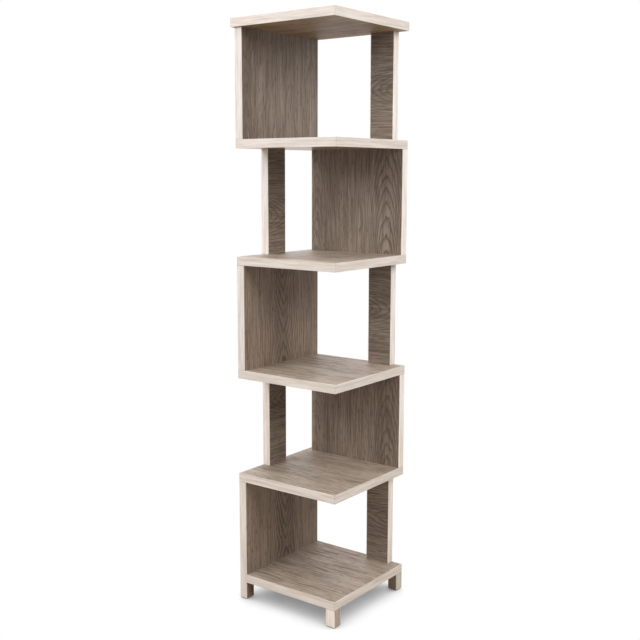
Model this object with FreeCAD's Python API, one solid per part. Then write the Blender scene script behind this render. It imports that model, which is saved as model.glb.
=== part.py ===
# Spine bookshelf: a tower of square shelves. Each tier is closed on its left and back sides, in turn by
# a wide side panel with a narrow back post, and by a wide back panel with a narrow side post. Front and
# right are open.
# Frame: X to the right, Y to the back, Z up, in millimetres. The origin is on the floor under the middle
# of the top board, which is the widest piece.
import FreeCAD, Part
import os

Vector = FreeCAD.Vector

# Shelves and tiers
shelf_width = 350.0
shelf_depth = 350.0
board_thickness = 25.0
top_overhang = 8.0            # the top board stands past the shelves by this at its left and front
upper_tier_height = 305.0     # clear height of the three upper tiers
lower_tier_height = 285.0     # clear height of the two lower tiers
base_height = 53.0            # floor to the underside of the bottom shelf

# Panels and posts
back_panel_inset = 20.0       # left edge of a back panel from the shelf's left edge
post_width = 80.0
side_post_setback = 110.0     # front edge of a side post from the shelf's front edge
back_post_inset = 35.0        # right edge of a back post from the shelf's right edge

# Legs, feet and glides
leg_size = 30.0
foot_length = 33.0            # length of each foot of the lower side panel, front to back
glide_height = 3.0
glide_radius = 9.0
glide_chamfer = 1.0
glide_nail_radius = 1.25
glide_nail_length = 14.0

# Edge band
band_thickness = 1.5
band_arris = 0.6              # rounding of the band's long outer edges

# Dowels
dowel_radius = 4.0
dowel_length = 30.0
dowel_seat = 11.0             # depth of a dowel in the face that it stands on
dowel_chamfer = 0.8
flute_count = 10              # grooves along a dowel
flute_width = 0.7             # side of the square cutter, set on edge
panel_dowel_inset = 110.0     # from each edge of a wide panel
post_dowel_inset = 18.0       # from each edge of a post

# Cam fittings
panel_cam_inset = 32.0        # from each edge of a wide panel
cam_radius = 7.5
cam_backset = 24.0            # joint face to the disc's axis
cam_floor = 1.0               # disc below the bolt's head
drive_slot_length = 7.0
drive_slot_width = 1.4
drive_slot_depth = 2.5
cap_thickness = 2.0
cap_chamfer = 0.3
bolt_thread_radius = 3.0
bolt_thread_length = 11.0
bolt_shank_radius = 2.5
bolt_head_radius = 3.5
bolt_head_length = 4.0

# Leg bolts
leg_bolt_radius = 3.0
leg_bolt_length = 40.0
leg_bolt_seat = 16.0          # depth of a leg bolt in the bottom shelf
leg_bolt_chamfer = 0.6
leg_fixing_offset = 6.0       # bolt and dowel stand this far to either side of the leg's axis

# Clearances
bore_clearance = 0.1          # round a dowel, bolt, disc, cap or nail
bore_end_clearance = 0.5      # past the end of a dowel, bolt or nail
head_clearance = 0.3          # round a bolt's head in its disc

# Planes that the pieces line up with
right = (shelf_width + top_overhang) / 2
left = right - shelf_width
back = (shelf_depth + top_overhang) / 2
front = back - shelf_depth
side_face = left + board_thickness      # inner face of the left side
back_face = back - board_thickness      # inner face of the back side

# Boards and tiers from the floor up
tier_heights = [lower_tier_height] * 2 + [upper_tier_height] * 3
board_names = ["bottom_shelf", "shelf_4", "shelf_3", "shelf_2", "shelf_1", "top_board"]
undersides = [base_height]
for tier_height in tier_heights:
    undersides.append(undersides[-1] + board_thickness + tier_height)

# Directions, and the ways that an upright can stand
UP = Vector(0, 0, 1)
DOWN = Vector(0, 0, -1)
LEFT = Vector(-1, 0, 0)
RIGHT = Vector(1, 0, 0)
BACK = Vector(0, 1, 0)
LEFT_TO_RIGHT = 0
FRONT_TO_BACK = 1

# Side of a board: its axis and which end of the span on that axis
SIDES = {"left": (0, 0), "right": (0, 1), "front": (1, 0), "back": (1, 1)}
SIDE_AT = {place: name for name, place in SIDES.items()}
TOUCH = 1e-6

cores = {}      # name: solid of a board, panel, post or leg
bands = {}      # name: strips of edge band on it
bores = {}      # name: holes to be cut in it
hardware = {}   # name: solids of one kind of fitting
for kind in ("dowels", "cam_bolts", "cam_discs", "cam_caps", "leg_bolts", "floor_glides"):
    hardware[kind] = []


def block(spans):
    """Box between the low and high ends given for X, Y and Z."""
    sizes = [high - low for low, high in spans]
    return Part.makeBox(*sizes, Vector(*[low for low, high in spans]))


def rod(radius, start, end):
    """Cylinder along Z between two heights."""
    return Part.makeCylinder(radius, end - start, Vector(0, 0, start))


def edges_at(solid, points):
    """Edges whose middle, or centre if they are round, is one of the points."""
    found = []
    for edge in solid.Edges:
        if any(edge.CenterOfMass.isEqual(point, TOUCH) for point in points):
            found.append(edge)
    return found


# Boards with edge band

def band_strip(spans, thickness_axis, axis, end, rounded_ends):
    """Strip of band. The two long edges of its outer face are rounded, and any free corner at its ends."""
    strip = block(spans)
    length_axis = 3 - axis - thickness_axis
    middle = [(low + high) / 2 for low, high in spans]
    middle[axis] = spans[axis][end]
    targets = [(thickness_axis, 0), (thickness_axis, 1)] + [(length_axis, side) for side in rounded_ends]
    points = []
    for target_axis, target_end in targets:
        point = list(middle)
        point[target_axis] = spans[target_axis][target_end]
        points.append(Vector(*point))
    return strip.makeFillet(band_arris, edges_at(strip, points))


def banded_board(name, spans, thickness_axis, banded):
    """A board of the given outer spans, with strips of edge band on the sides named."""
    core = [list(span) for span in spans]
    for side in banded:
        axis, end = SIDES[side]
        core[axis][end] += band_thickness if end == 0 else -band_thickness
    strips = []
    for side in banded:
        axis, end = SIDES[side]
        strip = [list(span) for span in (spans if axis == 1 else core)]
        strip[axis] = sorted([spans[axis][end], core[axis][end]])
        strip[thickness_axis] = spans[thickness_axis]
        corners = [i for i in (0, 1) if axis == 1 and SIDE_AT[0, i] in banded]
        strips.append(band_strip(strip, thickness_axis, axis, end, corners))
    cores[name] = block(core)
    bands[name] = strips
    bores[name] = []


# Fittings, drawn with the joint face at the origin, +Z into the piece and +X to the face with the disc

def placed(shape, seat, into, mouth):
    """Copy of a fitting set at a joint."""
    copy = shape.copy()
    copy.Placement = FreeCAD.Placement(seat, FreeCAD.Rotation(mouth, into.cross(mouth), into, "ZXY"))
    return copy


def chamfered_pin(radius, length, seat_depth, chamfer):
    """Pin across a joint, set seat_depth into the carrier, with chamfered ends."""
    tip = length - seat_depth
    pin = rod(radius, -seat_depth, tip)
    return pin.makeChamfer(chamfer, edges_at(pin, [Vector(0, 0, -seat_depth), Vector(0, 0, tip)]))


def make_dowel():
    """Dowel with flutes between its chamfers, which let the glue past."""
    pin = chamfered_pin(dowel_radius, dowel_length, dowel_seat, dowel_chamfer)
    half = flute_width / 2
    flute_z = (dowel_chamfer - dowel_seat, dowel_length - dowel_seat - dowel_chamfer)
    flute = block(((-half, half), (-half, half), flute_z)).rotated(Vector(), UP, 45)
    flute = flute.translated(Vector(dowel_radius, 0, 0))
    return pin.cut([flute.rotated(Vector(), UP, i * 360 / flute_count) for i in range(flute_count)])


def make_cam_bolt():
    """Threaded end, shank and head of a cam bolt."""
    head_start = cam_backset - bolt_head_length / 2
    thread = rod(bolt_thread_radius, -bolt_thread_length, 0)
    shank = rod(bolt_shank_radius, 0, head_start)
    head = rod(bolt_head_radius, head_start, head_start + bolt_head_length)
    return thread.fuse([shank, head]).removeSplitter()


cam_face = board_thickness / 2              # from the bolt's axis to the face with the disc
cam_end = -bolt_head_radius - cam_floor     # inner end of the disc along X


def disc_rod(radius, start, end):
    """Cylinder along X about the disc's axis."""
    return Part.makeCylinder(radius, end - start, Vector(start, 0, cam_backset), RIGHT)


def make_cam_disc():
    """Cam disc with the channel for the bolt's head and a cross slot for the driver."""
    top = cam_face - cap_thickness
    disc = disc_rod(cam_radius, cam_end, top)
    channel_end = cam_backset + bolt_head_length / 2 + head_clearance
    channel = rod(bolt_head_radius + head_clearance, cam_backset - 2 * cam_radius, channel_end)
    slot_x = (top - drive_slot_depth, top)
    long_half = drive_slot_length / 2
    short_half = drive_slot_width / 2
    slots = []
    for half_y, half_z in ((long_half, short_half), (short_half, long_half)):
        slots.append(block((slot_x, (-half_y, half_y), (cam_backset - half_z, cam_backset + half_z))))
    return disc.cut([channel] + slots)


def make_cam_cap():
    """Flush cap that covers the disc."""
    cap = disc_rod(cam_radius, cam_face - cap_thickness, cam_face)
    return cap.makeChamfer(cap_chamfer, edges_at(cap, [Vector(cam_face, 0, cam_backset)]))


def make_glide():
    """Round glide with its nail."""
    pad = rod(glide_radius, -glide_height, 0)
    pad = pad.makeChamfer(glide_chamfer, edges_at(pad, [Vector(0, 0, -glide_height)]))
    return pad.fuse(rod(glide_nail_radius, 0, glide_nail_length)).removeSplitter()


dowel = make_dowel()
leg_bolt = chamfered_pin(leg_bolt_radius, leg_bolt_length, leg_bolt_seat, leg_bolt_chamfer)
cam_bolt = make_cam_bolt()
cam_disc = make_cam_disc()
cam_cap = make_cam_cap()
glide = make_glide()

dowel_bore = rod(dowel_radius + bore_clearance, -dowel_seat - bore_end_clearance,
                 dowel_length - dowel_seat + bore_end_clearance)
thread_bore = rod(bolt_thread_radius + bore_clearance, -bolt_thread_length - bore_end_clearance, 0)
shank_bore = rod(bolt_head_radius + head_clearance, 0, cam_backset)
cam_pocket = disc_rod(cam_radius + bore_clearance, cam_end, cam_face)
leg_bolt_bore = rod(leg_bolt_radius + bore_clearance, -leg_bolt_seat - bore_end_clearance,
                    leg_bolt_length - leg_bolt_seat + bore_end_clearance)
nail_bore = rod(glide_nail_radius + bore_clearance, 0, glide_nail_length + bore_end_clearance)


def add_pin(kind, pin, bore, carrier, piece, seat, into):
    """Pin across the joint of two pieces, with its bore in both."""
    hardware[kind].append(placed(pin, seat, into, BACK))
    for name in (carrier, piece):
        bores[name].append(placed(bore, seat, into, BACK))


def add_dowel(carrier, piece, seat, into):
    """Dowel across the joint of two pieces."""
    add_pin("dowels", dowel, dowel_bore, carrier, piece, seat, into)


def add_cam(carrier, piece, seat, into, mouth):
    """Cam fitting that draws a piece on to its carrier."""
    hardware["cam_bolts"].append(placed(cam_bolt, seat, into, mouth))
    hardware["cam_discs"].append(placed(cam_disc, seat, into, mouth))
    hardware["cam_caps"].append(placed(cam_cap, seat, into, mouth))
    bores[carrier].append(placed(thread_bore, seat, into, mouth))
    bores[piece].append(placed(shank_bore, seat, into, mouth))
    bores[piece].append(placed(cam_pocket, seat, into, mouth))


def add_glide(piece, x, y):
    """Glide under a foot or leg."""
    seat = Vector(x, y, glide_height)
    hardware["floor_glides"].append(placed(glide, seat, UP, BACK))
    bores[piece].append(placed(nail_bore, seat, UP, BACK))


def fixings(span, is_post):
    """Places of the cams and of the dowels along the end of a panel or post."""
    low, high = span
    if is_post:
        return [(low + high) / 2], [low + post_dowel_inset, high - post_dowel_inset]
    cams = [low + panel_cam_inset, high - panel_cam_inset]
    return cams, [low + panel_dowel_inset, high - panel_dowel_inset]


def fix_end(carrier, piece, along, span, is_post, height, into):
    """Fixings at one end of an upright piece. Its cams open on the outer face, at the left or the back."""
    across = left + board_thickness / 2 if along == FRONT_TO_BACK else back - board_thickness / 2
    mouth = LEFT if along == FRONT_TO_BACK else BACK
    cams, dowels = fixings(span, is_post)

    def seat(place):
        if along == FRONT_TO_BACK:
            return Vector(across, place, height)
        return Vector(place, across, height)

    for place in cams:
        add_cam(carrier, piece, seat(place), into, mouth)
    for place in dowels:
        add_dowel(carrier, piece, seat(place), into)


def stand_upright(name, tier, along, span, is_post=False):
    """Panel or post between the two boards of a tier, on the left side or on the back side."""
    foot = undersides[tier] + board_thickness
    head = undersides[tier + 1]
    if along == FRONT_TO_BACK:
        banded_board(name, ((left, side_face), span, (foot, head)), 0, ("front", "back"))
    else:
        banded_board(name, (span, (back_face, back), (foot, head)), 1, ("left", "right"))
    fix_end(board_names[tier], name, along, span, is_post, foot, UP)
    fix_end(board_names[tier + 1], name, along, span, is_post, head, DOWN)


# Shelves

for name, underside in zip(board_names, undersides):
    overhang = top_overhang if name == "top_board" else 0.0
    near = side_face if name == "bottom_shelf" else left - overhang
    sides = ("front", "back", "right") if name == "bottom_shelf" else ("front", "back", "left", "right")
    board_z = (underside, underside + board_thickness)
    banded_board(name, ((near, right), (front - overhang, back), board_z), 2, sides)

# Uprights that stand between two boards

side_span = (front, back)
back_span = (left + back_panel_inset, right)
side_post_span = (front + side_post_setback, front + side_post_setback + post_width)
back_post_span = (right - back_post_inset - post_width, right - back_post_inset)
for tier, level in ((2, "middle"), (4, "upper")):
    stand_upright("side_panel_" + level, tier, FRONT_TO_BACK, side_span)
for tier, level in ((1, "lower"), (3, "upper")):
    stand_upright("back_panel_" + level, tier, LEFT_TO_RIGHT, back_span)
    stand_upright("side_post_" + level, tier, FRONT_TO_BACK, side_post_span, True)
for tier, level in ((0, "lower"), (2, "middle"), (4, "upper")):
    stand_upright("back_post_" + level, tier, LEFT_TO_RIGHT, back_post_span, True)

# Lower side panel: it runs past the bottom shelf to the floor and is cut away between its two feet

lower_panel = "side_panel_lower"
lower_head = undersides[1]
gap_front = front + foot_length
gap_back = back - foot_length
panel_x = (left, side_face)
banded_board(lower_panel, (panel_x, side_span, (glide_height, lower_head)), 0, ("front", "back"))
cut_y = (gap_front - band_thickness, gap_back + band_thickness)
foot_z = (glide_height, base_height)
gap_roof_z = (base_height, base_height + band_thickness)
cores[lower_panel] = cores[lower_panel].cut(block((panel_x, cut_y, (foot_z[0], gap_roof_z[1]))))
bands[lower_panel].append(band_strip((panel_x, (cut_y[0], gap_front), foot_z), 0, 1, 1, ()))
bands[lower_panel].append(band_strip((panel_x, (gap_back, cut_y[1]), foot_z), 0, 1, 0, ()))
bands[lower_panel].append(band_strip((panel_x, cut_y, gap_roof_z), 0, 2, 0, ()))
fix_end(board_names[1], lower_panel, FRONT_TO_BACK, side_span, False, lower_head, DOWN)
shelf_axis = base_height + board_thickness / 2
shelf_cams, shelf_dowels = fixings(side_span, False)
for place in shelf_cams:
    add_cam(lower_panel, "bottom_shelf", Vector(side_face, place, shelf_axis), RIGHT, DOWN)
for place in shelf_dowels:
    add_dowel(lower_panel, "bottom_shelf", Vector(side_face, place, shelf_axis), RIGHT)
panel_axis = (left + side_face) / 2
for foot_y in (front + foot_length / 2, back - foot_length / 2):
    add_glide(lower_panel, panel_axis, foot_y)

# Legs under the right end of the bottom shelf

leg_x = (right - leg_size, right)
legs = {
    "front_right_leg": ((front, front + leg_size), 0, ("front", "back")),
    "back_right_leg": ((back - leg_size, back), 1, ("left", "right")),
}
for name, (leg_y, thickness_axis, sides) in legs.items():
    banded_board(name, (leg_x, leg_y, (glide_height, base_height)), thickness_axis, sides)
    axis_x = sum(leg_x) / 2
    axis_y = sum(leg_y) / 2
    bolt_seat = Vector(axis_x + leg_fixing_offset, axis_y, base_height)
    add_pin("leg_bolts", leg_bolt, leg_bolt_bore, "bottom_shelf", name, bolt_seat, DOWN)
    add_dowel("bottom_shelf", name, Vector(axis_x - leg_fixing_offset, axis_y, base_height), DOWN)
    add_glide(name, axis_x, axis_y)

# One file for each piece, each piece's edge band and each kind of fitting

os.makedirs("parts", exist_ok=True)
for name, core in cores.items():
    core.cut(bores[name]).exportStep("parts/" + name + ".step")
    Part.makeCompound(bands[name]).exportStep("parts/" + name + "_edge_band.step")
for name, solids in hardware.items():
    Part.makeCompound(solids).exportStep("parts/" + name + ".step")
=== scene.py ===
import math
from typing import NamedTuple

import bmesh
import bpy
from mathutils import Euler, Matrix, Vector


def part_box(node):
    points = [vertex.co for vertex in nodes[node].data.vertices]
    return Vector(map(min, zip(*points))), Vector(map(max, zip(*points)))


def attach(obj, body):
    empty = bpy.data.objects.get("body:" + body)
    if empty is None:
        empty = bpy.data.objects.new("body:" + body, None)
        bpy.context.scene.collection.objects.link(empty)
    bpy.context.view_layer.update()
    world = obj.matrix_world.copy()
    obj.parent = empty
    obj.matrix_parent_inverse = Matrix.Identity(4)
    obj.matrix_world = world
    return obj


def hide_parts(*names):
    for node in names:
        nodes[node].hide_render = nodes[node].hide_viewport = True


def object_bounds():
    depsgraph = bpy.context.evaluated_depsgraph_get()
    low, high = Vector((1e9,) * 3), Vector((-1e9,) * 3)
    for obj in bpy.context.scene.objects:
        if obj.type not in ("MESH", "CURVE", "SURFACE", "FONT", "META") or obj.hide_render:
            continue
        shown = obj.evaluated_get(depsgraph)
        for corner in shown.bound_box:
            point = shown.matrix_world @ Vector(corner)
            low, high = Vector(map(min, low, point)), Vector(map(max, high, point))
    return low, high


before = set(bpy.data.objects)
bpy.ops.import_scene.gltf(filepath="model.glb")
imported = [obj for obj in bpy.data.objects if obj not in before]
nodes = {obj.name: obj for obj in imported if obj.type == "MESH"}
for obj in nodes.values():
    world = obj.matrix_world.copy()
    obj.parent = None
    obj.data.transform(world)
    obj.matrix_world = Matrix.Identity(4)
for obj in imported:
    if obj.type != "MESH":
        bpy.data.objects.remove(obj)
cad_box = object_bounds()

bl_info = {
    "name": "Spine Bookshelf Finish",
    "version": (1, 0, 0),
    "blender": (4, 5, 0),
    "location": "View3D > Sidebar > Bookshelf",
    "description": "Gives a tower of laminated shelves its oak print, edge band and fittings",
    "category": "Object",
}

MM = 0.001
BODY = "root"
BAND = "_edge_band"
WELD = 1e-6               # metres within which two points of a mesh are one
PRINT_STEP = 1000         # millimetres between the cuts that two boards take from the same print

# Sockets of a Mix node, which has one set for numbers and one for colours
NUMBER_A, NUMBER_B = 2, 3
COLOUR_A, COLOUR_B, COLOUR_OUT = 6, 7, 2

# Axes of a board: across its grain, along its grain, through its thickness
GRAIN = {
    "shelf": ("Y", "X", "Z"),
    "top_board": ("Y", "X", "Z"),
    "side_panel": ("Y", "Z", "X"),
    "back_panel": ("X", "Z", "Y"),
    "side_post": ("Z", "Y", "X"),
    "back_post": ("Z", "X", "Y"),
    "front_right_leg": ("Y", "Z", "X"),
    "back_right_leg": ("X", "Z", "Y"),
}


class Figure(NamedTuple):
    """Oak figure of a board, with places and lengths in millimetres from the board's middle."""

    heart: float = 260            # how far across the grain the heart of the log lies
    second_heart: float = 900     # the same for a second log, far off where there is none
    rounding: float = 60          # how round the arches over a heart are
    taper: float = 0.0            # how fast the arches widen along the grain
    turn: float = 0               # where along the grain the arches turn round
    spacing: float = 15           # between ring lines, drawn coarse, so that they show from afar
    rings: float = 0.1            # how strongly the ring lines show, from 0 to 1
    heartwood: float = 0.0        # how much darker the wood over the first heart is
    sapwood: float = 0.0          # how much darker the wood away from that heart is
    warmth: float = 0.0           # how much warmer the whole board is


PLAIN_FIGURE = Figure()
FIGURES = {
    "side_panel_upper": Figure(heart=-158, rounding=6, taper=0.2, turn=60, spacing=10, rings=0.35,
                               heartwood=0.18, warmth=-0.04),
    "side_panel_middle": Figure(heart=2, rounding=5, taper=0.24, turn=-77, spacing=10, rings=0.9,
                                heartwood=0.18, warmth=0.035),
    "side_panel_lower": Figure(heart=10, rounding=5, taper=0.22, turn=-60, spacing=10, rings=1.0,
                               heartwood=0.16, sapwood=-0.03, warmth=0.015),
    "back_panel_upper": Figure(heart=110, second_heart=-146, rounding=6, taper=0.22, turn=150, spacing=10,
                               rings=0.85, heartwood=0.08, sapwood=0.03, warmth=-0.015),
    "back_panel_lower": Figure(heart=122, second_heart=-150, rounding=6, taper=0.2, turn=150, spacing=10,
                               rings=0.65, heartwood=0.08, sapwood=0.02),
    "side_post_upper": Figure(heart=-38, rounding=8, taper=0.3, turn=60, spacing=9, rings=0.75,
                              heartwood=0.05),
    "side_post_lower": Figure(heart=60, rounding=8, taper=0.3, turn=-60, spacing=9, rings=0.75,
                              heartwood=0.05),
    "back_post_upper": Figure(heart=-10, rounding=8, taper=0.3, turn=-60, spacing=9, rings=0.65,
                              heartwood=0.09, sapwood=0.05),
    "back_post_middle": Figure(heart=12, rounding=8, taper=0.3, turn=60, spacing=9, rings=0.75,
                               heartwood=-0.03, sapwood=-0.03),
    "back_post_lower": Figure(heart=4, rounding=8, taper=0.22, turn=-80, spacing=9, rings=0.65,
                              sapwood=-0.03),
}
# Every field but the warmth, which goes into the colours, is a socket of the print
FIGURE_SOCKETS = {field.replace("_", " ").title(): field for field in Figure._fields if field != "warmth"}

# Patterns in the print: width across the grain and run along it in millimetres, and detail. The finest ones
# are drawn coarser than real fibres and pores, so that they show in a view of the whole shelf
WANDER_PATTERN = (40, 120, 2.0)
PRINT_PATTERNS = {
    "broad": (18, 300, 2.0),
    "streak": (4.5, 120, 3.0),
    "fibre": (4, 70, 2.0),
    "pore": (3.0, 26, 1.0),
    "smear": (5, 130, 3.0),
    "dash": (4.5, 55, 3.0),
    "patch": (50, 150, 1.0),
}
SHELF_DASHES = 0.85       # how strongly smears and dashes show on level boards

# Soft lights: name, azimuth from the front and elevation in degrees, setting with the power, side in metres
LIGHT_DISTANCE = 3.7
LIGHTS = (
    ("overhead_light", 0, 90, "overhead", 3.2),
    ("front_light", -20, 30, "front", 1.6),
    ("right_light", 74, 30, "right", 1.6),
    ("rear_light", 222, 25, "rear", 2.0),
)
FLOOR_SEGMENTS = 96


def linear(code):
    """Linear colour, with alpha, of an sRGB hex code."""
    channels = [int(code[i:i + 2], 16) / 255 for i in (0, 2, 4)]
    return [c / 12.92 if c <= 0.04045 else ((c + 0.055) / 1.055) ** 2.4 for c in channels] + [1.0]


def colour(name, description, code):
    """Colour property of a finish."""
    return bpy.props.FloatVectorProperty(
        name=name, description=description, default=linear(code), subtype="COLOR", size=4, min=0, max=1)


def length(name, description, millimetres):
    """Length property, given in millimetres and kept in metres."""
    return bpy.props.FloatProperty(
        name=name, description=description, default=millimetres * MM, min=0, unit="LENGTH", precision=5)


def power(name, description, watts):
    """Power property of a light."""
    return bpy.props.FloatProperty(name=name, description=description, default=watts, min=0, unit="POWER")


class BookshelfColours(bpy.types.PropertyGroup):
    """Colours of the finishes."""

    upright_light: colour("Upright light", "Pale early wood in the print on panels", "9A8879")
    upright_dark: colour("Upright dark", "Greyer streaks in that print", "736355")
    post_light: colour("Post light", "Pale early wood in the print on posts", "938476")
    post_dark: colour("Post dark", "Greyer streaks in that print", "6C5E52")
    # Top faces of level boards: the print's own tone, made paler in part as painted light from above
    shelf_light: colour("Shelf light", "Pale early wood in the print on top of level boards", "B3A394")
    shelf_dark: colour("Shelf dark", "Greyer streaks in that print", "8F7F70")
    # Painted shade: a darker, warmer copy of the print for the undersides of level boards
    under_light: colour("Underside light", "Pale early wood in the print under level boards", "A98D70")
    under_dark: colour("Underside dark", "Greyer streaks in that print", "81674E")
    leg_light: colour("Leg light", "Pale early wood in the print on the front leg", "C4B7A9")
    leg_dark: colour("Leg dark", "Greyer streaks in that print", "9A8A7C")
    ring_line: colour("Ring line", "Ring lines and pores in every print", "483B31")
    # One band in two tones: the paler upright copy is painted light on edges that stand back under the
    # shelves
    side_band_light: colour("Side band light", "Pale ground of the band on side panels", "E3DBD5")
    side_band_dark: colour("Side band dark", "Streaks in that band", "CABEB3")
    upright_band_light: colour("Upright band light", "Pale ground of the band on other uprights", "F3EAE4")
    upright_band_dark: colour("Upright band dark", "Streaks in that band", "D9CCBF")
    rear_band_light: colour(
        "Rear leg band light", "Ground of the band on the rear leg, near the print's tone", "D2C9BF")
    rear_band_dark: colour("Rear leg band dark", "Streaks in that band", "BCAFA0")
    shelf_band_light: colour("Shelf band light", "Pale ground of the band on shelves", "DFD5CD")
    shelf_band_dark: colour("Shelf band dark", "Streaks in that band", "C4B7AA")
    # Dark line where two bands meet: partly glue, partly painted contact shadow
    joint_line: colour("Joint line", "Glue line where two bands meet", "8A7A6B")
    chip_light: colour("Chipboard light", "Pale flakes of the core", "C9AE84")
    chip_dark: colour("Chipboard dark", "Dark flakes of the core", "8F7048")
    beech: colour("Beech", "Ground of the dowels", "D9B68C")
    beech_fleck: colour("Beech fleck", "Flecks in the dowels", "A97B52")
    plating: colour("Zinc plating", "Bright plating of the bolts", "C9CCCD")
    plating_dark: colour("Zinc plating dull", "Duller spots in that plating", "A9ADB0")
    casting: colour("Zinc casting", "Skin of the cam discs", "9A9C9E")
    casting_dark: colour("Zinc casting dark", "Darker grain in that skin", "7E8082")
    cap: colour("Cover cap", "Moulded caps over the cam discs", "8A7A6C")
    cap_dark: colour("Cover cap dark", "Darker grain in those caps", "7B6C5F")
    glide: colour("Floor glide", "Moulded glides under the feet", "3A3632")
    glide_worn: colour("Floor glide worn", "Paler patches on those glides", "4A4540")


class BookshelfFittings(bpy.types.PropertyGroup):
    """Sizes of the fittings that show more than their solids do."""

    cap_chamfer: length("Cap chamfer", "Chamfer round a cover cap", 0.3)
    cap_rim: length("Cap rim", "Flat rim of a cover cap", 1.4)
    cap_dish: length("Cap dish", "Depth of the dished middle of a cover cap", 0.4)
    thread_pitch: length("Thread pitch", "Rise of a bolt's thread in one turn", 1.6)
    thread_depth: length("Thread depth", "Depth of a bolt's thread", 0.7)
    cam_thread: length("Cam bolt thread", "Threaded end of a cam bolt", 11)
    cam_shank: length("Cam bolt shank", "Diameter of a cam bolt's plain shank", 5)
    cam_head: length("Cam bolt head", "Length of a cam bolt's round head", 4)


class BookshelfStage(bpy.types.PropertyGroup):
    """Camera, light and floor."""

    lens: bpy.props.FloatProperty(
        name="Lens", description="Focal length of the camera", default=55.546, unit="CAMERA")
    place: bpy.props.FloatVectorProperty(
        name="Camera place", description="Where the camera stands", default=(1.7176, -2.2795, 1.2625),
        subtype="TRANSLATION", unit="LENGTH")
    turn: bpy.props.FloatVectorProperty(
        name="Camera turn", description="Tilt, roll and turn of the camera",
        default=[math.radians(angle) for angle in (81.575, -0.079, 37.039)], subtype="EULER", unit="ROTATION")
    overhead: power("Overhead light", "Large light above, which the floor throws back", 100)
    front: power("Front light", "Soft light at the front", 68)
    right: power("Right light", "Soft light at the right", 74)
    rear: power("Rear light", "Soft light behind the left side", 21)
    ambient: bpy.props.FloatProperty(
        name="Ambient", description="Share of the white surroundings that lights the object", default=0.44,
        subtype="FACTOR", min=0, max=1)
    floor_bounce: colour("Floor bounce", "Floor as it lights the object from below", "BEB4A8")
    floor_radius: length("Floor radius", "Where the floor ends in the white surroundings", 1500)
    # Reach of the painted contact shadow on the floor
    shadow_reach: length("Shadow reach", "How far from the object the floor is still shaded", 120)


# Shader building

def fill(tree, made, inputs):
    """Give a node's input sockets values, output sockets, or nodes, whose first output is meant."""
    for key, value in inputs.items():
        if isinstance(value, bpy.types.Node):
            value = value.outputs[0]
        if isinstance(value, bpy.types.NodeSocket):
            tree.links.new(value, made.inputs[key])
        else:
            made.inputs[key].default_value = value


def add(tree, kind, inputs=None, **settings):
    """Add a node with its settings, and fill its inputs."""
    made = tree.nodes.new(kind)
    for name, value in settings.items():
        setattr(made, name, value)
    fill(tree, made, inputs or {})
    return made


def start_material(name, fixed):
    """New material and its shader, with the values that are the same all over set on the shader itself."""
    material = bpy.data.materials.new(name)
    material.use_nodes = True
    shader = material.node_tree.nodes["Principled BSDF"]
    fill(material.node_tree, shader, fixed)
    return material, material.node_tree, shader


def board_space(tree, axes, middle):
    """Millimetres from a board's middle: across the grain, along it, and through the thickness."""
    place = add(tree, "ShaderNodeTexCoord").outputs["Object"]
    split = add(tree, "ShaderNodeSeparateXYZ", {0: place}).outputs
    turned = add(tree, "ShaderNodeCombineXYZ", {i: split[axis] for i, axis in enumerate(axes)})
    offset = [-middle["XYZ".index(axis)] / MM for axis in axes]
    return add(tree, "ShaderNodeVectorMath", {0: turned, 1: [1 / MM] * 3, 2: offset},
               operation="MULTIPLY_ADD")


def stretched_noise(tree, place, width, run, detail):
    """Noise in patches of the given width across the grain and run along it, in millimetres."""
    scaled = add(tree, "ShaderNodeVectorMath", {0: place, 1: (1 / width, 1 / run, 1 / width)},
                 operation="MULTIPLY")
    return add(tree, "ShaderNodeTexNoise", {"Vector": scaled, "Scale": 1.0, "Detail": detail})


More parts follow.
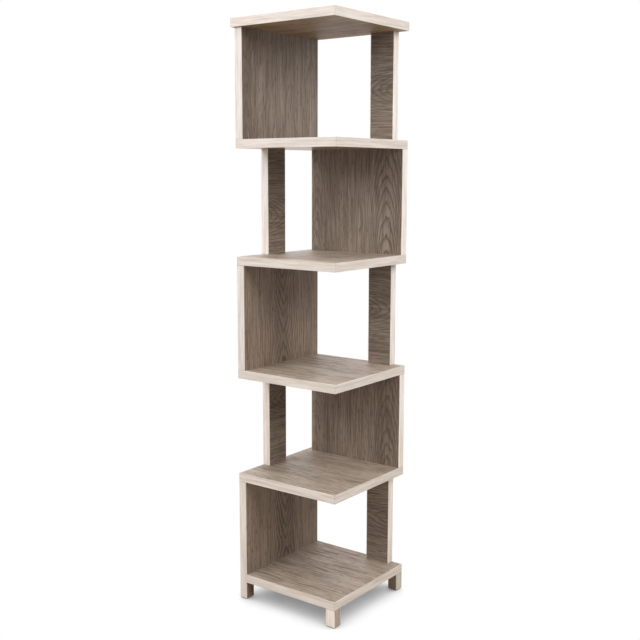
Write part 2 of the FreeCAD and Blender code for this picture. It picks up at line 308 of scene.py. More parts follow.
def ring_lines(tree, given, wander, noise):
    """How strongly the ring lines show at a point, and how far it lies from the first heart. The lines run
    along the grain beside a heart, closer together the further out, and meet in arches over it."""
    merging = 30.0                # millimetres over which the rings of two logs run together
    pace, hurry = 0.5, 0.003      # how fast rings follow each other at a heart, and the gain further out
    sway, flutter = 16.0, 4.0     # millimetres by which the lines wander, and by which fibres fray them
    fainter = 65.0                # millimetres by which the second heart counts as further off
    split = add(tree, "ShaderNodeSeparateXYZ", {0: given["Board"]}).outputs
    away = []
    for heart in ("Heart", "Second Heart"):
        across = add(tree, "ShaderNodeMath", {0: split[0], 1: given[heart]}, operation="SUBTRACT")
        both = add(tree, "ShaderNodeCombineXYZ", {0: across, 1: given["Rounding"]})
        away.append(add(tree, "ShaderNodeVectorMath", {0: both}, operation="LENGTH").outputs["Value"])
    radius = add(tree, "ShaderNodeMath", {0: away[0], 1: away[1], 2: merging}, operation="SMOOTH_MIN")
    share = add(tree, "ShaderNodeMath", {0: radius, 1: hurry, 2: pace}, operation="MULTIPLY_ADD")
    spread = add(tree, "ShaderNodeMath", {0: radius, 1: share}, operation="MULTIPLY")

    # Near a heart the rings climb along the grain into arches, and far from it they run straight
    along = add(tree, "ShaderNodeMath", {0: split[1], 1: given["Turn"]}, operation="SUBTRACT")
    both = add(tree, "ShaderNodeCombineXYZ", {0: along, 1: given["Rounding"]})
    along = add(tree, "ShaderNodeVectorMath", {0: both}, operation="LENGTH").outputs["Value"]
    rise = add(tree, "ShaderNodeMath", {0: along, 1: given["Taper"]}, operation="MULTIPLY")
    near = add(tree, "ShaderNodeMapRange", {
        "Value": radius, "From Min": 15.0, "From Max": 110.0, "To Min": -1.0, "To Max": 0.0},
        interpolation_type="SMOOTHSTEP")
    arched = add(tree, "ShaderNodeMath", {0: rise, 1: near, 2: spread}, operation="MULTIPLY_ADD")
    waved = add(tree, "ShaderNodeMath", {0: wander, 1: sway, 2: arched}, operation="MULTIPLY_ADD")
    frayed = add(tree, "ShaderNodeMath", {0: noise["fibre"], 1: flutter, 2: waved}, operation="MULTIPLY_ADD")
    count = add(tree, "ShaderNodeMath", {0: frayed, 1: given["Spacing"]}, operation="DIVIDE")
    ring = add(tree, "ShaderNodeMath", {0: count}, operation="FRACT")
    late_wood = add(tree, "ShaderNodeMapRange", {"Value": ring, "From Min": 0.5, "From Max": 0.95},
                    interpolation_type="SMOOTHSTEP")

    # The lines are fainter in patches and away from the hearts
    uneven = add(tree, "ShaderNodeMapRange", {
        "Value": noise["patch"], "From Min": 0.35, "From Max": 0.65, "To Min": 0.6, "To Max": 1.0})
    strength = add(tree, "ShaderNodeMath", {0: uneven, 1: given["Rings"]}, operation="MULTIPLY")
    second = add(tree, "ShaderNodeMath", {0: away[1], 1: fainter})
    nearest = add(tree, "ShaderNodeMath", {0: away[0], 1: second}, operation="MINIMUM")
    fade = add(tree, "ShaderNodeMapRange", {
        "Value": nearest, "From Min": 30.0, "From Max": 90.0, "To Min": 1.0, "To Max": 0.35})
    strength = add(tree, "ShaderNodeMath", {0: strength, 1: fade}, operation="MULTIPLY")
    return add(tree, "ShaderNodeMath", {0: late_wood, 1: strength}, operation="MULTIPLY"), away[0]


def wood_tone(tree, given, noise, away):
    """How far the ground goes towards dark: streaks, the heartwood's tone, and clouds on level boards."""
    broad_share = 0.45
    streaked = add(tree, "ShaderNodeMath", {0: noise["broad"], 1: broad_share, 2: noise["streak"]},
                   operation="MULTIPLY_ADD")
    heartwood = add(tree, "ShaderNodeMapRange", {
        "Value": away, "From Min": 15.0, "From Max": 60.0,
        "To Min": given["Heartwood"], "To Max": given["Sapwood"]})
    toned = add(tree, "ShaderNodeMath", {0: streaked, 1: heartwood})
    cloud = add(tree, "ShaderNodeMapRange", {
        "Value": noise["patch"], "From Min": 0.3, "From Max": 0.7, "To Min": -0.07, "To Max": 0.07})
    clouded = add(tree, "ShaderNodeMath", {0: cloud, 1: given["Dashes"], 2: toned}, operation="MULTIPLY_ADD")
    return add(tree, "ShaderNodeMapRange", {"Value": clouded, "From Min": 0.54, "From Max": 0.92})


def wood_marks(tree, given, noise):
    """How dark the pressed pores are at a point, and on level boards the clusters of smears and dashes."""
    pores = add(tree, "ShaderNodeMapRange", {
        "Value": noise["pore"], "From Min": 0.58, "From Max": 0.72, "To Max": 0.6})
    smears = add(tree, "ShaderNodeMapRange", {"Value": noise["smear"], "From Min": 0.52, "From Max": 0.74})
    dashes = add(tree, "ShaderNodeMapRange", {
        "Value": noise["dash"], "From Min": 0.53, "From Max": 0.64, "To Max": 0.7})
    darkest = add(tree, "ShaderNodeMath", {0: smears, 1: dashes}, operation="MAXIMUM")
    cluster = add(tree, "ShaderNodeMapRange", {
        "Value": noise["patch"], "From Min": 0.3, "From Max": 0.62, "To Max": given["Dashes"]})
    clustered = add(tree, "ShaderNodeMath", {0: darkest, 1: cluster}, operation="MULTIPLY")
    return add(tree, "ShaderNodeMath", {0: pores, 1: clustered}, operation="MAXIMUM")


def oak_print():
    """Node group with the oak print: ring lines of two logs cut lengthways, streaks, fibres and pores."""
    tree = bpy.data.node_groups.new("oak_figure", "ShaderNodeTree")
    inputs = {
        "NodeSocketVector": ("Board", "Start"),
        "NodeSocketFloat": (*FIGURE_SOCKETS, "Dashes"),
        "NodeSocketColor": ("Light", "Dark", "Line"),
    }
    for kind, names in inputs.items():
        for name in names:
            tree.interface.new_socket(name=name, in_out="INPUT", socket_type=kind)
    outputs = {"Color": "NodeSocketColor", "Roughness": "NodeSocketFloat", "Height": "NodeSocketFloat"}
    for name, kind in outputs.items():
        tree.interface.new_socket(name=name, in_out="OUTPUT", socket_type=kind)
    given = add(tree, "NodeGroupInput").outputs

    sway = (15, 0, 0)         # millimetres by which the grain wanders across a board
    start = add(tree, "ShaderNodeVectorMath", {0: given["Board"], 1: given["Start"]})
    wander = stretched_noise(tree, start, *WANDER_PATTERN)
    shift = add(tree, "ShaderNodeCombineXYZ", {0: wander})
    place = add(tree, "ShaderNodeVectorMath", {0: shift, 1: sway, 2: start}, operation="MULTIPLY_ADD")
    noise = {name: stretched_noise(tree, place, *pattern) for name, pattern in PRINT_PATTERNS.items()}
    line, away = ring_lines(tree, given, wander, noise)
    tone = wood_tone(tree, given, noise, away)
    marks = wood_marks(tree, given, noise)

    printed = given["Light"]
    for share, tint in ((tone, "Dark"), (line, "Line"), (marks, "Line")):
        printed = add(tree, "ShaderNodeMix", {"Factor": share, COLOUR_A: printed, COLOUR_B: given[tint]},
                      data_type="RGBA").outputs[COLOUR_OUT]
    roughness = add(tree, "ShaderNodeMapRange", {"Value": marks, "To Min": 0.55, "To Max": 0.72})
    height = add(tree, "ShaderNodeMath", {0: marks, 1: -1.0, 2: noise["fibre"]}, operation="MULTIPLY_ADD")
    add(tree, "NodeGroupOutput", {"Color": printed, "Roughness": roughness, "Height": height})
    return tree


def print_start(board):
    """How deep in the print a board's cut lies, in millimetres."""
    return PRINT_STEP * sorted(nodes).index(board)


def warmed(tint, warmth):
    """Linear colour with its red raised and its blue lowered by the given share."""
    red, green, blue, alpha = tint
    return red * (1 + warmth), green, blue * (1 - warmth), alpha


def finish_of(board, usual, special):
    """Name of a board's colours: the usual one, or a special one where the board's name holds its mark."""
    for finish, mark in special.items():
        if mark in board:
            return finish
    return usual


def oak_laminate(board, axes, colours, print_group):
    """Chipboard with a pressed melamine face. The eye gets a greige oak print with a low sheen and pressed
    pores on the wide faces, and raw flakes where the board is cut or bored."""
    flake_size = 2.6          # millimetres
    face_limit = 0.7          # least part of a wide face's normal that lies along the thickness
    raw_roughness, skim_roughness = 0.85, 0.25
    level = axes[2] == "Z"
    material, tree, shader = start_material(
        "oak_laminate_on_chipboard." + board, {"Specular IOR Level": 0.3 if level else 0.32})
    low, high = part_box(board)
    place = board_space(tree, axes, (low + high) / 2)
    geometry = add(tree, "ShaderNodeNewGeometry").outputs
    normal = add(tree, "ShaderNodeSeparateXYZ", {0: geometry["Normal"]}).outputs

    figure = FIGURES.get(board, PLAIN_FIGURE)
    finish = finish_of(board, "shelf" if level else "upright", {"post": "post", "leg": "front_right_leg"})
    light, dark = (warmed(getattr(colours, finish + tone), figure.warmth) for tone in ("_light", "_dark"))
    # Level boards get a paler print on top, partly painted light from above, and a darker, warmer copy
    # underneath as painted shade
    if level:
        shaded_underside = add(tree, "ShaderNodeMath", {0: normal["Z"], 1: 0.0}, operation="LESS_THAN")
        light, dark = (
            add(tree, "ShaderNodeMix", {"Factor": shaded_underside, COLOUR_A: above, COLOUR_B: below},
                data_type="RGBA").outputs[COLOUR_OUT]
            for above, below in ((light, colours.under_light), (dark, colours.under_dark)))
    oak = add(tree, "ShaderNodeGroup", {
        "Board": place, "Start": (0, 0, print_start(board)),
        **{socket: getattr(figure, field) for socket, field in FIGURE_SOCKETS.items()},
        "Dashes": SHELF_DASHES if level else 0.0, "Light": light, "Dark": dark, "Line": colours.ring_line},
        node_tree=print_group).outputs

    flakes = add(tree, "ShaderNodeTexVoronoi", {"Vector": place, "Scale": 1 / flake_size}).outputs
    flake = add(tree, "ShaderNodeSeparateColor", {0: flakes["Color"]})
    chip = add(tree, "ShaderNodeMix", {
        "Factor": flake, COLOUR_A: colours.chip_light, COLOUR_B: colours.chip_dark},
        data_type="RGBA").outputs[COLOUR_OUT]
    facing = add(tree, "ShaderNodeMath", {0: normal[axes[2]]}, operation="ABSOLUTE")
    is_face = add(tree, "ShaderNodeMath", {0: facing, 1: face_limit}, operation="GREATER_THAN")
    tint = add(tree, "ShaderNodeMix", {"Factor": is_face, COLOUR_A: chip, COLOUR_B: oak["Color"]},
               data_type="RGBA").outputs[COLOUR_OUT]
    rough = add(tree, "ShaderNodeMix", {
        "Factor": is_face, NUMBER_A: raw_roughness, NUMBER_B: oak["Roughness"]})
    # A rough face mirrors what lies beyond it when the eye only just skims it
    slant = add(tree, "ShaderNodeLayerWeight").outputs["Facing"]
    skimming = add(tree, "ShaderNodeMapRange", {"Value": slant, "From Min": 0.94, "From Max": 0.965})
    gloss = add(tree, "ShaderNodeMix", {"Factor": skimming, NUMBER_A: rough, NUMBER_B: skim_roughness})
    bump = add(tree, "ShaderNodeBump", {"Strength": 0.25, "Distance": 0.2 * MM, "Height": oak["Height"]})
    fill(tree, shader, {"Base Color": tint, "Roughness": gloss, "Normal": bump})
    return material


def oak_edge_band(board, upright, colours):
    """Extruded ABS band with a pale oak print. The eye gets cream edges with fine streaks along their
    length, and a thin dark line where two bands meet, partly a glue line and partly painted contact shadow."""
    glue_and_shadow_line = 2.4           # millimetres, drawn coarse, so that it shows
    glue_and_shadow_strength = 0.4 if upright else 0.15
    fibre_share = 0.5
    material, tree, shader = start_material("oak_print_abs_band." + board, {"Specular IOR Level": 0.35})
    low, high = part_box(board)
    half = (high - low) / (2 * MM)
    place = board_space(tree, "XYZ", (low + high) / 2)
    split = add(tree, "ShaderNodeSeparateXYZ", {0: place}).outputs
    level = add(tree, "ShaderNodeMath", {0: split[0], 1: split[1]})
    across, along = (level, split[2]) if upright else (split[2], level)
    turned = add(tree, "ShaderNodeCombineXYZ", {0: across, 1: along, 2: print_start(board)})
    # Streaks and fibres are drawn coarser than real ones, so that they show
    streak = stretched_noise(tree, turned, width=8, run=170, detail=3.0)
    fibre = stretched_noise(tree, turned, width=3, run=45, detail=2.0)
    streaked = add(tree, "ShaderNodeMath", {0: fibre, 1: fibre_share, 2: streak}, operation="MULTIPLY_ADD")
    tone = add(tree, "ShaderNodeMapRange", {"Value": streaked, "From Min": 0.6, "From Max": 1.0})
    # Posts, back panels and the front leg take the paler band, painted light on edges that stand back under
    # the shelves
    finish = finish_of(board, "upright_band" if upright else "shelf_band",
                       {"side_band": "side_panel", "rear_band": "back_right_leg"})
    light, dark = (getattr(colours, finish + shade) for shade in ("_light", "_dark"))
    tint = add(tree, "ShaderNodeMix", {"Factor": tone, COLOUR_A: light, COLOUR_B: dark}, data_type="RGBA")

    ends = []
    for axis in ((2,) if upright else (0, 1)):
        size = add(tree, "ShaderNodeMath", {0: split[axis]}, operation="ABSOLUTE")
        ends.append(add(tree, "ShaderNodeMath", {0: half[axis], 1: size}, operation="SUBTRACT"))
    end = add(tree, "ShaderNodeMath", {0: ends[0], 1: ends[-1]}, operation="MAXIMUM")
    # Darker towards each end of the band: partly a glue line, partly painted contact shadow where it meets
    # the next board
    glue_and_shadow = add(tree, "ShaderNodeMapRange", {
        "Value": end, "From Max": glue_and_shadow_line, "To Min": glue_and_shadow_strength, "To Max": 0.0},
        interpolation_type="SMOOTHSTEP")
    jointed = add(tree, "ShaderNodeMix", {
        "Factor": glue_and_shadow, COLOUR_A: tint.outputs[COLOUR_OUT], COLOUR_B: colours.joint_line}, data_type="RGBA")
    rough = add(tree, "ShaderNodeMapRange", {"Value": fibre, "To Min": 0.45, "To Max": 0.6})
    bump = add(tree, "ShaderNodeBump", {"Strength": 0.15, "Distance": 0.1 * MM, "Height": fibre})
    fill(tree, shader, {"Base Color": jointed.outputs[COLOUR_OUT], "Roughness": rough, "Normal": bump})
    return material


def mottled(name, light, dark, patch, rough, dent, fixed):
    """Material of a small part: two tones in patches of the given size in millimetres, a range of roughness,
    and dents of the given depth in millimetres."""
    material, tree, shader = start_material(name, fixed)
    place = add(tree, "ShaderNodeTexCoord").outputs["Object"]
    spot = add(tree, "ShaderNodeTexNoise", {"Vector": place, "Scale": 1 / (patch * MM), "Detail": 2.0})
    tone = add(tree, "ShaderNodeMapRange", {"Value": spot, "From Min": 0.4, "From Max": 0.65})
    tint = add(tree, "ShaderNodeMix", {"Factor": tone, COLOUR_A: light, COLOUR_B: dark}, data_type="RGBA")
    gloss = add(tree, "ShaderNodeMapRange", {
        "Value": spot, "From Min": 0.3, "From Max": 0.7, "To Min": rough[0], "To Max": rough[1]})
    bump = add(tree, "ShaderNodeBump", {"Strength": 0.4, "Distance": dent * MM, "Height": spot})
    fill(tree, shader, {"Base Color": tint.outputs[COLOUR_OUT], "Roughness": gloss, "Normal": bump})
    return material


def coat_node(node, material):
    """Give a CAD node its material."""
    for slot in nodes[node].material_slots:
        slot.material = material


# Fittings from Geometry Nodes

def solid_boxes(node):
    """Lowest and highest corner of each solid in a CAD node, in a fixed order."""
    shell = bmesh.new()
    shell.from_mesh(nodes[node].data)
    bmesh.ops.remove_doubles(shell, verts=shell.verts, dist=WELD)
    left = set(shell.verts)
    boxes = []
    for first in shell.verts:
        if first not in left:
            continue
        left.discard(first)
        solid = [first]
        for corner in solid:
            for edge in corner.link_edges:
                other = edge.other_vert(corner)
                if other in left:
                    left.discard(other)
                    solid.append(other)
        spans = list(zip(*(corner.co for corner in solid)))
        boxes.append((Vector(map(min, spans)), Vector(map(max, spans))))
    shell.free()
    return sorted(boxes, key=lambda box: [round(value, 5) for value in (*box[0], *box[1])])


def start_tree(name, sizes):
    """New tree for a modifier, with an input of places and one for each length. Gives its inputs as well."""
    tree = bpy.data.node_groups.new(name, "GeometryNodeTree")
    tree.interface.new_socket(name="Places", in_out="INPUT", socket_type="NodeSocketGeometry")
    for size in sizes:
        socket = tree.interface.new_socket(name=size, in_out="INPUT", socket_type="NodeSocketFloat")
        socket.subtype = "DISTANCE"
    tree.interface.new_socket(name="Pieces", in_out="OUTPUT", socket_type="NodeSocketGeometry")
    return tree, add(tree, "NodeGroupInput").outputs


def total(tree, terms):
    """Sum of the given output sockets, each taken the given number of times."""
    result = 0.0
    for socket, times in terms:
        result = add(tree, "ShaderNodeMath", {0: socket, 1: times, 2: result}, operation="MULTIPLY_ADD")
    return result


def wrapped_grid(tree, segments, rows):
    """Grid to wrap round an axis, and for each of its points the row and the turn."""
    grid = add(tree, "GeometryNodeMeshGrid", {"Vertices X": segments + 1, "Vertices Y": rows})
    index = add(tree, "GeometryNodeInputIndex")
    row = add(tree, "ShaderNodeMath", {0: index, 1: rows}, operation="FLOORED_MODULO")
    share = add(tree, "ShaderNodeMath", {0: index, 1: rows}, operation="DIVIDE")
    column = add(tree, "ShaderNodeMath", {0: share}, operation="FLOOR")
    turn = add(tree, "ShaderNodeMath", {0: column, 1: 1 / segments}, operation="MULTIPLY")
    return grid, row, turn


def wrap(tree, grid, radius, height, turn):
    """Set the grid's points round the axis and close the seam and the ends."""
    angle = add(tree, "ShaderNodeMath", {0: turn, 1: math.tau}, operation="MULTIPLY")
    point = add(tree, "ShaderNodeCombineXYZ", {0: radius, 2: height})
    turned = add(tree, "ShaderNodeVectorRotate", {"Vector": point, "Angle": angle}, rotation_type="Z_AXIS")
    placed = add(tree, "GeometryNodeSetPosition", {"Geometry": grid, "Position": turned})
    return add(tree, "GeometryNodeMergeByDistance", {"Geometry": placed, "Distance": WELD})


def turned_solid(tree, segments, profile):
    """Solid of revolution through the profile's points, given as sums for radius and height."""
    grid, row, turn = wrapped_grid(tree, segments, len(profile))
    chosen = add(tree, "GeometryNodeIndexSwitch", {"Index": row}, data_type="VECTOR")
    while len(chosen.index_switch_items) < len(profile):
        chosen.index_switch_items.new()
    for i, (radius, height) in enumerate(profile):
        point = add(tree, "ShaderNodeCombineXYZ", {0: total(tree, radius), 2: total(tree, height)})
        fill(tree, chosen, {i + 1: point})
    split = add(tree, "ShaderNodeSeparateXYZ", {0: chosen}).outputs
    return wrap(tree, grid, split[0], split[2], turn)


def threaded_rod(tree, segments, rows, radius, depth, pitch, bottom, top):
    """Rod between two heights with a helical thread, whose ends run out to the root."""
    full_thread, end = 0.46, 0.5  # how far from the rod's middle they reach, as shares of its length
    grid, row, turn = wrapped_grid(tree, segments, rows)
    # The first and the last row close the ends, and the rows between them climb from the bottom to the top
    share = add(tree, "ShaderNodeMapRange", {"Value": row, "From Min": 1.0, "From Max": rows - 2.0})
    height = add(tree, "ShaderNodeMapRange", {"Value": share, "To Min": bottom, "To Max": top})
    turns = add(tree, "ShaderNodeMath", {0: height, 1: pitch}, operation="DIVIDE")
    phase = add(tree, "ShaderNodeMath", {0: turns, 1: turn}, operation="SUBTRACT")
    # Half a turn takes the skin from the crest, at 0, to the root, at 1
    groove = add(tree, "ShaderNodeMath", {0: phase, 1: 0.5}, operation="PINGPONG")
    thread = add(tree, "ShaderNodeMath", {0: groove, 1: 2.0}, operation="MULTIPLY")
    offset = add(tree, "ShaderNodeMath", {0: share, 1: 0.5}, operation="SUBTRACT")
    reach = add(tree, "ShaderNodeMath", {0: offset}, operation="ABSOLUTE")
    run_out = add(tree, "ShaderNodeMapRange", {"Value": reach, "From Min": full_thread, "From Max": end})
    deep = add(tree, "ShaderNodeMath", {0: thread, 1: run_out}, operation="MAXIMUM")
    cut = add(tree, "ShaderNodeMath", {0: deep, 1: depth}, operation="MULTIPLY")
    skin = add(tree, "ShaderNodeMath", {0: radius, 1: cut}, operation="SUBTRACT")
    offset = add(tree, "ShaderNodeMath", {0: row, 1: (rows - 1) / 2}, operation="SUBTRACT")
    reach = add(tree, "ShaderNodeMath", {0: offset}, operation="ABSOLUTE")
    inside = add(tree, "ShaderNodeMath", {0: reach, 1: rows / 2 - 1}, operation="LESS_THAN")
    closed = add(tree, "ShaderNodeMath", {0: skin, 1: inside}, operation="MULTIPLY")
    return wrap(tree, grid, closed, height, turn)


def finish_tree(tree, given, piece, material):
    """Put the piece on every place, turned to the place's direction, and give it its material."""
    way = add(tree, "GeometryNodeInputNamedAttribute", {"Name": "way"}, data_type="FLOAT_VECTOR")
    turn = add(tree, "FunctionNodeAlignRotationToVector", {"Vector": way}, axis="Z")
    pieces = add(tree, "GeometryNodeInstanceOnPoints", {
        "Points": given["Places"], "Instance": piece, "Rotation": turn})
    solid = add(tree, "GeometryNodeRealizeInstances", {0: pieces})
    coated = add(tree, "GeometryNodeSetMaterial", {"Geometry": solid, "Material": material})
    add(tree, "NodeGroupOutput", {0: coated})


def grow_pieces(name, tree, places, sizes, node):
    """Run a tree on places, each a point and a direction, and leave a plain mesh in the CAD node's stead."""
    points = bpy.data.meshes.new(name + "_places")
    points.from_pydata([place for place, way in places], [], [])
    ways = points.attributes.new("way", "FLOAT_VECTOR", "POINT")
    for item, (place, way) in zip(ways.data, places):
        item.vector = way
    piece = bpy.data.objects.new(name, points)
    bpy.context.scene.collection.objects.link(piece)
    modifier = piece.modifiers.new(name, "NODES")
    modifier.node_group = tree
    for socket in tree.interface.items_tree:
        if socket.name in sizes:
            modifier[socket.identifier] = sizes[socket.name]
    graph = bpy.context.evaluated_depsgraph_get()
    mesh = bpy.data.meshes.new_from_object(piece.evaluated_get(graph), depsgraph=graph)
    piece.modifiers.clear()
    piece.data = mesh
    shell = bmesh.new()
    shell.from_mesh(mesh)
    bmesh.ops.recalc_face_normals(shell, faces=shell.faces)
    shell.to_mesh(mesh)
    shell.free()
    if not mesh.polygons:
        raise RuntimeError("no faces came out for " + name)
    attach(piece, BODY)
    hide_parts(node)


# Operators

class BOOKSHELF_OT_laminate(bpy.types.Operator):
    """Lay the oak print on the shelves, panels, posts and legs"""

    bl_idname = "bookshelf.laminate"
    bl_label = "Laminate the boards"

    def execute(self, context):
        colours = context.scene.bookshelf_colours
        print_group = oak_print()
        for board in sorted(nodes):
            if board + BAND not in nodes:
                continue
            kinds = [kind for kind in GRAIN if kind in board]
            if len(kinds) != 1:
                raise RuntimeError("no single grain direction for " + board)
            coat_node(board, oak_laminate(board, GRAIN[kinds[0]], colours, print_group))
        return {"FINISHED"}


class BOOKSHELF_OT_band(bpy.types.Operator):
    """Put the pale oak band on every edge"""

    bl_idname = "bookshelf.band"
    bl_label = "Band the edges"

    def execute(self, context):
        colours = context.scene.bookshelf_colours
        for node in sorted(nodes):
            if node.endswith(BAND):
                upright = "shelf" not in node and "top_board" not in node
                coat_node(node, oak_edge_band(node.removesuffix(BAND), upright, colours))
        return {"FINISHED"}


class BOOKSHELF_OT_fittings(bpy.types.Operator):
    """Finish the dowels, the cam discs and the floor glides"""

    bl_idname = "bookshelf.fittings"
    bl_label = "Finish the fittings"

    def execute(self, context):
        colours = context.scene.bookshelf_colours
        # Turned beech, compressed and fluted: a warm matt tone with darker flecks
        coat_node("dowels", mottled(
            "turned_beech_dowel", colours.beech, colours.beech_fleck, patch=1.2, rough=(0.55, 0.7), dent=0.05,
            fixed={"IOR": 1.5}))
        # Pressure-cast zinc alloy, left as it came from the mould: a dull grey metal with a grainy skin
        coat_node("cam_discs", mottled(
            "cast_zinc_alloy", colours.casting, colours.casting_dark, patch=0.8, rough=(0.42, 0.6), dent=0.08,
            fixed={"Metallic": 1.0}))
        # Moulded nylon: a dark, waxy skin that shines where it rubs
        coat_node("floor_glides", mottled(
            "moulded_nylon", colours.glide, colours.glide_worn, patch=2.5, rough=(0.3, 0.5), dent=0.04,
            fixed={"IOR": 1.53}))
        return {"FINISHED"}


class BOOKSHELF_OT_caps(bpy.types.Operator):
    """Make the cover caps, with a rim and a dished middle, flush with the outer faces"""

    bl_idname = "bookshelf.caps"
    bl_label = "Make the cover caps"

    def execute(self, context):
        colours = context.scene.bookshelf_colours
        fittings = context.scene.bookshelf_fittings
        middle = (cad_box[0] + cad_box[1]) / 2
        places = []
        for low, high in solid_boxes("cam_caps"):
            centre = (low + high) / 2
            size = high - low
            axis = min(range(3), key=lambda i: size[i])
            way = Vector((0, 0, 0))
            way[axis] = math.copysign(1, centre[axis] - middle[axis])
            places.append((centre + way * size[axis] / 2, way))
        # All caps are alike, so the last one gives the size
        sizes = {"Radius": max(size) / 2, "Thickness": min(size), "Chamfer": fittings.cap_chamfer,
                 "Rim": fittings.cap_rim, "Dish": fittings.cap_dish}
        tree, given = start_tree("cover_cap", sizes)
        radius, thickness, chamfer, rim, dish = (given[name] for name in sizes)
        inner = [(radius, 1), (chamfer, -1), (rim, -1)]
        cap = turned_solid(tree, segments=40, profile=[
            ([], [(thickness, -1)]),
            ([(radius, 1)], [(thickness, -1)]),
            ([(radius, 1)], [(chamfer, -1)]),
            ([(radius, 1), (chamfer, -1)], []),
            (inner, []),
            (inner + [(dish, -1)], [(dish, -1)]),
            ([], [(dish, -1)]),
        ])
        # Moulded ABS in the print's colour: a fine grain from the mould, with a low sheen
        material = mottled(
            "moulded_abs_cap", colours.cap, colours.cap_dark, patch=1.5, rough=(0.4, 0.55), dent=0.03,
            fixed={"IOR": 1.53})
        finish_tree(tree, given, cap, material)
        grow_pieces("cover_caps", tree, places, sizes, "cam_caps")
        return {"FINISHED"}


class BOOKSHELF_OT_bolts(bpy.types.Operator):
    """Cut the threads of the cam bolts and the leg bolts"""

    bl_idname = "bookshelf.bolts"
    bl_label = "Thread the bolts"

    def execute(self, context):
        colours = context.scene.bookshelf_colours
        fittings = context.scene.bookshelf_fittings
        # Rolled steel with bright zinc plating: a cool, fairly sharp shine with a few duller spots
        material = mottled(
            "zinc_plated_rolled_steel", colours.plating, colours.plating_dark, patch=1.5, rough=(0.22, 0.4),
            dent=0.02, fixed={"Metallic": 1.0})
        common = {"Pitch": fittings.thread_pitch, "Depth": fittings.thread_depth}

        # A cam bolt points from its shelf to the cam disc that holds it. All are alike, as the leg bolts are
        discs = [(low + high) / 2 for low, high in solid_boxes("cam_discs")]
        places = []
        for low, high in solid_boxes("cam_bolts"):
            centre = (low + high) / 2
            size = high - low
            axis = max(range(3), key=lambda i: size[i])
            disc = min(discs, key=lambda spot: (spot - centre).length)
            way = Vector((0, 0, 0))
            way[axis] = math.copysign(1, disc[axis] - centre[axis])
            places.append((centre - way * size[axis] / 2, way))
        sizes = {"Length": max(size), "Head Radius": min(size) / 2, "Thread": fittings.cam_thread,
                 "Shank": fittings.cam_shank, "Head": fittings.cam_head, **common}
        tree, given = start_tree("cam_bolt", sizes)
        reach, head_radius, thread, shank, head, pitch, depth = (given[name] for name in sizes)
        thread_radius = total(tree, [(shank, 0.5), (depth, 0.5)])
        screw = threaded_rod(tree, segments=14, rows=44, radius=thread_radius, depth=depth, pitch=pitch,
                             bottom=0.0, top=thread)
        neck = [(reach, 1), (head, -1)]
        shaft = turned_solid(tree, segments=20, profile=[
            ([], [(thread, 1)]),
            ([(shank, 0.5)], [(thread, 1)]),
            ([(shank, 0.5)], neck),
            ([(head_radius, 1)], neck),
            ([(head_radius, 1)], [(reach, 1)]),
            ([], [(reach, 1)]),
        ])
        bolt = add(tree, "GeometryNodeJoinGeometry")
        for part in (screw, shaft):
            fill(tree, bolt, {0: part})
        finish_tree(tree, given, bolt, material)
        grow_pieces("threaded_cam_bolts", tree, places, sizes, "cam_bolts")

        # A leg bolt stands upright
        places = []
        for low, high in solid_boxes("leg_bolts"):
            size = high - low
            places.append((Vector(((low.x + high.x) / 2, (low.y + high.y) / 2, low.z)), Vector((0, 0, 1))))
        sizes = {"Length": max(size), "Radius": min(size) / 2, **common}
        tree, given = start_tree("leg_bolt", sizes)
        bolt = threaded_rod(tree, segments=16, rows=152, radius=given["Radius"], depth=given["Depth"],
                            pitch=given["Pitch"], bottom=0.0, top=given["Length"])
        finish_tree(tree, given, bolt, material)
        grow_pieces("threaded_leg_bolts", tree, places, sizes, "leg_bolts")
        return {"FINISHED"}


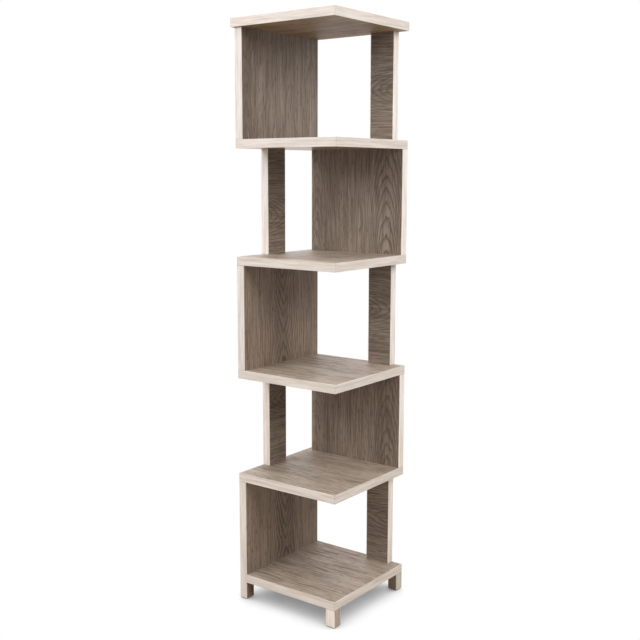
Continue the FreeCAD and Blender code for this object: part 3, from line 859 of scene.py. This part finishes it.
class BOOKSHELF_OT_stage(bpy.types.Operator):
    """Set up the camera, the floor and the soft white light"""

    bl_idname = "bookshelf.stage"
    bl_label = "Set the stage"

    def execute(self, context):
        stage = context.scene.bookshelf_stage
        scene = context.scene
        scene.view_settings.view_transform = "Standard"

        lens = bpy.data.cameras.new("camera")
        lens.lens = stage.lens
        camera = bpy.data.objects.new("camera", lens)
        camera.location = stage.place
        camera.rotation_euler = stage.turn
        scene.collection.objects.link(camera)
        scene.camera = camera

        # The surroundings are white to the eye and in reflections, and light the object with a share of that
        scene.world = bpy.data.worlds.new("white_surroundings")
        scene.world.use_nodes = True
        tree = scene.world.node_tree
        ray = add(tree, "ShaderNodeLightPath").outputs
        seen = add(tree, "ShaderNodeMath", {0: ray["Is Camera Ray"], 1: ray["Is Glossy Ray"]},
                   operation="MAXIMUM")
        strength = add(tree, "ShaderNodeMapRange", {"Value": seen, "To Min": stage.ambient})
        fill(tree, tree.nodes["Background"], {"Color": linear("FFFFFF"), "Strength": strength})

        middle = (cad_box[0] + cad_box[1]) / 2
        for name, azimuth, elevation, watts, size in LIGHTS:
            lamp = bpy.data.lights.new(name, "AREA")
            lamp.energy = getattr(stage, watts)
            lamp.size = size
            light = bpy.data.objects.new(name, lamp)
            turn = Euler((math.radians(90 - elevation), 0, math.radians(azimuth)))
            light.rotation_euler = turn
            light.location = middle + turn.to_matrix() @ Vector((0, 0, LIGHT_DISTANCE))
            light.visible_camera = False
            scene.collection.objects.link(light)

        mesh = bpy.data.meshes.new("floor")
        grown = bmesh.new()
        bmesh.ops.create_circle(grown, cap_ends=True, segments=FLOOR_SEGMENTS, radius=stage.floor_radius)
        grown.to_mesh(mesh)
        grown.free()
        floor = bpy.data.objects.new("floor", mesh)
        scene.collection.objects.link(floor)
        # A cleared white floor: the camera sees it glowing as white as the surroundings, with a painted
        # contact shadow from ambient occlusion where the object stands close over it, and everything else
        # gets its bounce
        covered, clear = 0.1, 0.75    # open share of the sky where the floor is darkest, and where white
        darkest = 0.13
        material, tree, shader = start_material(
            "matt_white_floor", {"Roughness": 0.9, "Specular IOR Level": 0.0})
        seen = add(tree, "ShaderNodeLightPath").outputs["Is Camera Ray"]
        tint = add(tree, "ShaderNodeMix", {
            "Factor": seen, COLOUR_A: stage.floor_bounce, COLOUR_B: linear("000000")}, data_type="RGBA")
        # Painted shadow: ambient occlusion, not the lamps, darkens the floor's glow near the object
        open_sky = add(tree, "ShaderNodeAmbientOcclusion", {"Distance": stage.shadow_reach}).outputs["AO"]
        shade = add(tree, "ShaderNodeMapRange", {
            "Value": open_sky, "From Min": covered, "From Max": clear, "To Min": darkest})
        fill(tree, shader, {
            "Base Color": tint.outputs[COLOUR_OUT], "Emission Color": shade, "Emission Strength": seen})
        mesh.materials.append(material)
        return {"FINISHED"}


class BOOKSHELF_PT_finish(bpy.types.Panel):
    """Sizes, colours and steps of the bookshelf's finish"""

    bl_idname = "BOOKSHELF_PT_finish"
    bl_label = "Bookshelf"
    bl_space_type = "VIEW_3D"
    bl_region_type = "UI"
    bl_category = "Bookshelf"

    def draw(self, context):
        for group in GROUPS:
            settings = getattr(context.scene, group)
            for name in settings.__annotations__:
                self.layout.prop(settings, name)
        for operator in OPERATORS:
            self.layout.operator(operator.bl_idname)


GROUPS = {
    "bookshelf_colours": BookshelfColours,
    "bookshelf_fittings": BookshelfFittings,
    "bookshelf_stage": BookshelfStage,
}
OPERATORS = (BOOKSHELF_OT_laminate, BOOKSHELF_OT_band, BOOKSHELF_OT_fittings, BOOKSHELF_OT_caps,
             BOOKSHELF_OT_bolts, BOOKSHELF_OT_stage)


def register():
    """Register the classes and hang the settings on the scene."""
    for group in GROUPS.values():
        bpy.utils.register_class(group)
    for operator in OPERATORS:
        bpy.utils.register_class(operator)
    bpy.utils.register_class(BOOKSHELF_PT_finish)
    for name, group in GROUPS.items():
        setattr(bpy.types.Scene, name, bpy.props.PointerProperty(type=group))


def unregister():
    """Take the settings and the classes away again."""
    for name in GROUPS:
        delattr(bpy.types.Scene, name)
    bpy.utils.unregister_class(BOOKSHELF_PT_finish)
    for operator in reversed(OPERATORS):
        bpy.utils.unregister_class(operator)
    for group in GROUPS.values():
        bpy.utils.unregister_class(group)


def main():
    """Register the add-on and run its steps in order."""
    register()
    bpy.ops.bookshelf.laminate()
    bpy.ops.bookshelf.band()
    bpy.ops.bookshelf.fittings()
    bpy.ops.bookshelf.caps()
    bpy.ops.bookshelf.bolts()
    bpy.ops.bookshelf.stage()


if __name__ == "__main__":
    main()
